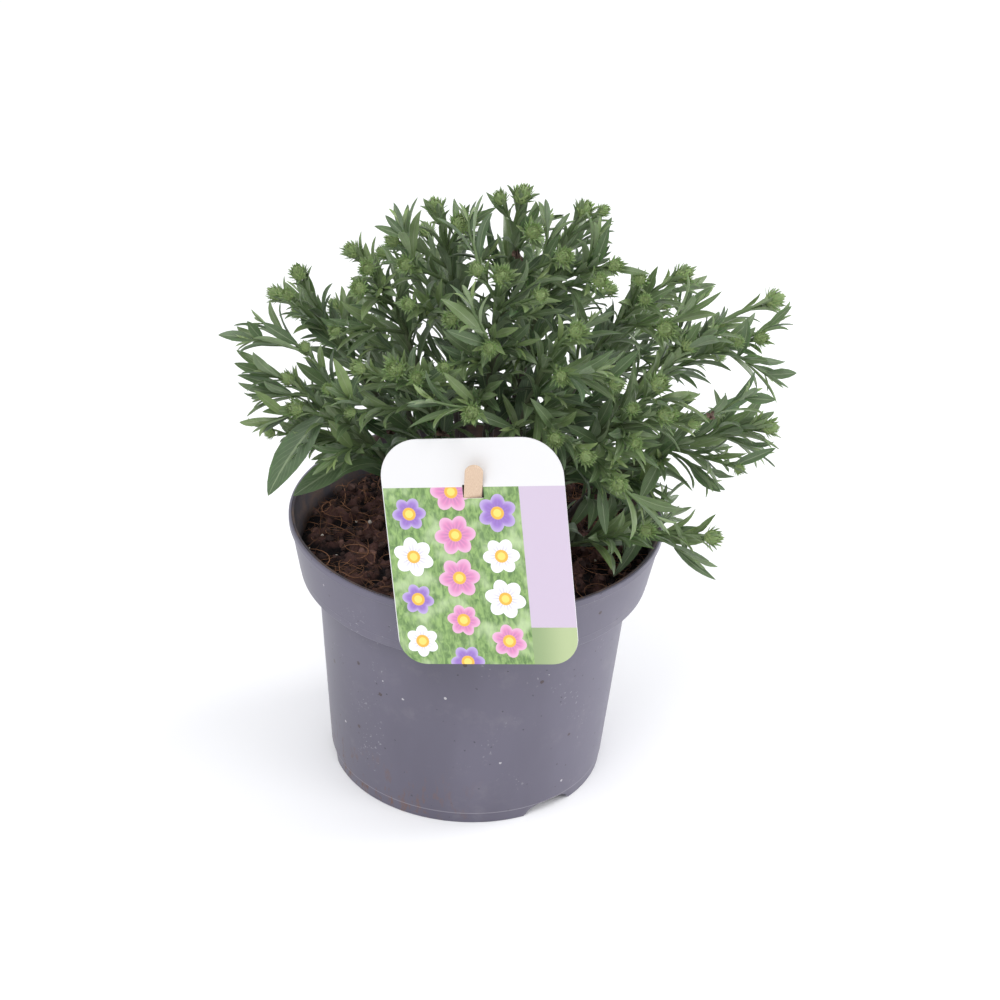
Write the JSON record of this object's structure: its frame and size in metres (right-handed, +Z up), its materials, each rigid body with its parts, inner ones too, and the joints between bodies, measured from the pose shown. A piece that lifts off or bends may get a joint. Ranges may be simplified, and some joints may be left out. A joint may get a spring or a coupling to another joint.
{
  "type": "potted new york aster",
  "caption": "Bushy aster in bud in a round plastic nursery pot, with its soil, branched leafy shoots and a blank-headed picture card on a stake.",
  "frame": {"origin": "centre of the pot's underside, on the surface it stands on", "axes": "+Z up; -Y towards the front, where the label card leans on the pot's lip; +X to the right"},
  "size_m": [0.249, 0.1921, 0.2892],
  "materials": {
    "pot_plastic": "satin moulded nursery-pot plastic with dust and soil smudges",
    "potting_soil": "loose fibrous peat and coir",
    "stem_bark": "smooth green to dark purple-brown stem skin",
    "leaf_green": "matt to satin leaf skin with a paler midrib",
    "bud_green": "fresh green narrow bracts",
    "card_print": "smooth coated card, printed on its face",
    "stake_wood": "raw pale wood"
  },
  "bodies": {
    "root": {"pot": "pot_plastic", "soil": "potting_soil", "label_card": "card_print", "label_stake": "stake_wood", "stem_01": "stem_bark", "leaves_01": "leaf_green", "bud_01": "bud_green", "stem_02": "stem_bark", "leaves_02": "leaf_green", "bud_02": "bud_green", "stem_03": "stem_bark", "leaves_03": "leaf_green", "bud_03": "bud_green", "stem_04": "stem_bark", "leaves_04": "leaf_green", "bud_04": "bud_green", "stem_05": "stem_bark", "leaves_05": "leaf_green", "bud_05": "bud_green", "stem_06": "stem_bark", "leaves_06": "leaf_green", "bud_06": "bud_green", "stem_07": "stem_bark", "leaves_07": "leaf_green", "bud_07": "bud_green", "stem_08": "stem_bark", "leaves_08": "leaf_green", "bud_08": "bud_green", "stem_09": "stem_bark", "leaves_09": "leaf_green", "bud_09": "bud_green", "stem_10": "stem_bark", "leaves_10": "leaf_green", "bud_10": "bud_green", "stem_11": "stem_bark", "leaves_11": "leaf_green", "bud_11": "bud_green", "stem_12": "stem_bark", "leaves_12": "leaf_green", "bud_12": "bud_green", "stem_13": "stem_bark", "leaves_13": "leaf_green", "bud_13": "bud_green", "stem_14": "stem_bark", "leaves_14": "leaf_green", "bud_14": "bud_green", "stem_15": "stem_bark", "leaves_15": "leaf_green", "bud_15": "bud_green", "stem_16": "stem_bark", "leaves_16": "leaf_green", "bud_16": "bud_green", "stem_17": "stem_bark", "leaves_17": "leaf_green", "bud_17": "bud_green", "stem_18": "stem_bark", "leaves_18": "leaf_green", "bud_18": "bud_green"}
  },
  "joints": []
}
